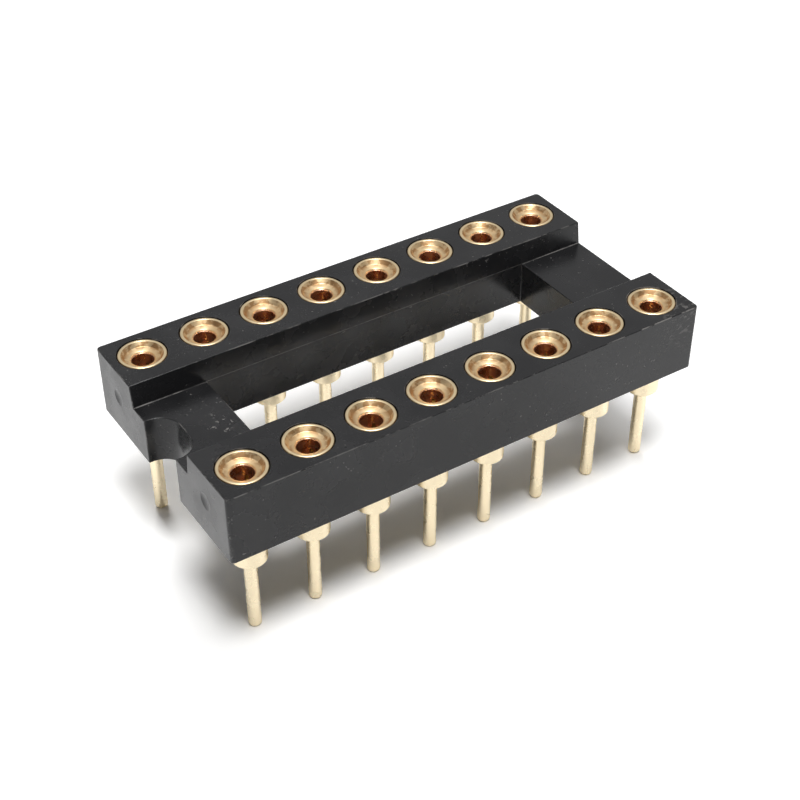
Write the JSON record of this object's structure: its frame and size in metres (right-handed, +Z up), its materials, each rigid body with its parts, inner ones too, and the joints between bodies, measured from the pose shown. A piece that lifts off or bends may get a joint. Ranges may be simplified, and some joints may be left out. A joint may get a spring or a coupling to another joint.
{
  "type": "integrated circuit socket",
  "caption": "Open-frame dual in-line chip socket: a black moulded frame with rows of turned contacts, funnel entries on top and solder tails below.",
  "frame": {"origin": "midway between the rows and the ends, on the plane of the tail tips", "axes": "+X along the rows from the notched end to the plain end, +Y from the row of contacts 1 to 8 to the row of 9 to 16, +Z up out of the funnels"},
  "size_m": [0.0204, 0.0102, 0.0074],
  "materials": {
    "insulator": "satin black glass-filled moulding",
    "sleeve_plating": "gold-plated turned brass, polished",
    "clip_plating": "gold-plated spring copper"
  },
  "bodies": {
    "root": {"insulator": "insulator", "sleeve_1": "sleeve_plating", "sleeve_2": "sleeve_plating", "sleeve_3": "sleeve_plating", "sleeve_4": "sleeve_plating", "sleeve_5": "sleeve_plating", "sleeve_6": "sleeve_plating", "sleeve_7": "sleeve_plating", "sleeve_8": "sleeve_plating", "sleeve_9": "sleeve_plating", "sleeve_10": "sleeve_plating", "sleeve_11": "sleeve_plating", "sleeve_12": "sleeve_plating", "sleeve_13": "sleeve_plating", "sleeve_14": "sleeve_plating", "sleeve_15": "sleeve_plating", "sleeve_16": "sleeve_plating", "clip_1": "clip_plating", "clip_2": "clip_plating", "clip_3": "clip_plating", "clip_4": "clip_plating", "clip_5": "clip_plating", "clip_6": "clip_plating", "clip_7": "clip_plating", "clip_8": "clip_plating", "clip_9": "clip_plating", "clip_10": "clip_plating", "clip_11": "clip_plating", "clip_12": "clip_plating", "clip_13": "clip_plating", "clip_14": "clip_plating", "clip_15": "clip_plating", "clip_16": "clip_plating"}
  },
  "joints": []
}
